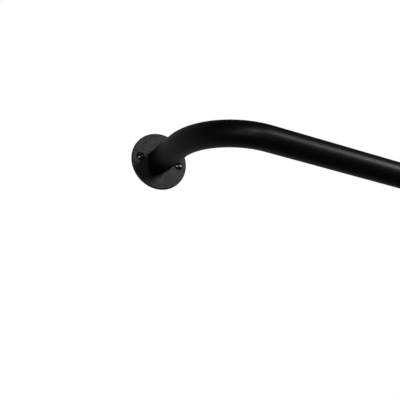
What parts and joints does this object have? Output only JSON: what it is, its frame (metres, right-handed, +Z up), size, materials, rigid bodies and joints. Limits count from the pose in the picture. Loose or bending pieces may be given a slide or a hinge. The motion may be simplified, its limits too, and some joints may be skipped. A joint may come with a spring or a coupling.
{
  "type": "curtain rod with brackets",
  "caption": "Wraparound telescoping curtain rod in matte black steel, its ends bent back to round wall plates that are screwed to the wall.",
  "frame": {"origin": "centre of the left wall plate's back face, in the wall plane", "axes": "+X along the rod from the left bracket to the right one, +Y into the wall, +Z up; the room is at -Y"},
  "size_m": [0.821, 0.1347, 0.059],
  "materials": {
    "powder_coat": "matte black powder coat on steel",
    "screw_black": "glossy black baked enamel on steel",
    "zinc_steel": "turned, zinc plated",
    "black_oxide": "black oxide alloy steel, lightly oiled",
    "nylon_black": "moulded nylon, satin",
    "nylon_natural": "moulded nylon, natural, satin"
  },
  "bodies": {
    "outer_half": {"outer_tube": "powder_coat", "telescope_collar": "nylon_black", "left_clamp_nut": "black_oxide"},
    "left_clamp_screw": {"left_clamp_screw": "black_oxide"},
    "left_sleeve": {"left_post_sleeve": "nylon_natural"},
    "left_bracket": {"left_wall_plate": "powder_coat", "left_post": "zinc_steel", "left_post_screw": "zinc_steel", "left_outer_wall_screw": "screw_black", "left_inner_wall_screw": "screw_black"},
    "glide": {"glide_bush": "nylon_natural"},
    "inner_half": {"inner_tube": "powder_coat", "right_clamp_nut": "black_oxide"},
    "right_clamp_screw": {"right_clamp_screw": "black_oxide"},
    "right_sleeve": {"right_post_sleeve": "nylon_natural"},
    "right_bracket": {"right_wall_plate": "powder_coat", "right_post": "zinc_steel", "right_post_screw": "zinc_steel", "right_outer_wall_screw": "screw_black", "right_inner_wall_screw": "screw_black"}
  },
  "joints": [
    {"name": "rod_length", "type": "slide", "parent": "outer_half", "child": "glide", "axis": [1, 0, 0], "range_m": [-0.051, 0.457]},
    {"name": "rod_twist", "type": "hinge", "parent": "glide", "child": "inner_half", "pos_m": [0.4, -0.109, 0], "axis": [1, 0, 0], "continuous": true},
    {"name": "left_clamp", "type": "slide", "parent": "outer_half", "child": "left_clamp_screw", "axis": [0, 0, -1], "range_m": [0, 0.0025]},
    {"name": "left_pull_off", "type": "slide", "parent": "outer_half", "child": "left_sleeve", "axis": [0, 1, 0], "range_m": [0, 0.03]},
    {"name": "left_bracket_turn", "type": "hinge", "parent": "left_sleeve", "child": "left_bracket", "pos_m": [0, 0, 0], "axis": [0, 1, 0], "continuous": true},
    {"name": "right_clamp", "type": "slide", "parent": "inner_half", "child": "right_clamp_screw", "axis": [0, 0, -1], "range_m": [0, 0.0025]},
    {"name": "right_pull_off", "type": "slide", "parent": "inner_half", "child": "right_sleeve", "axis": [0, 1, 0], "range_m": [0, 0.03]},
    {"name": "right_bracket_turn", "type": "hinge", "parent": "right_sleeve", "child": "right_bracket", "pos_m": [0.762, 0, 0], "axis": [0, 1, 0], "continuous": true}
  ]
}
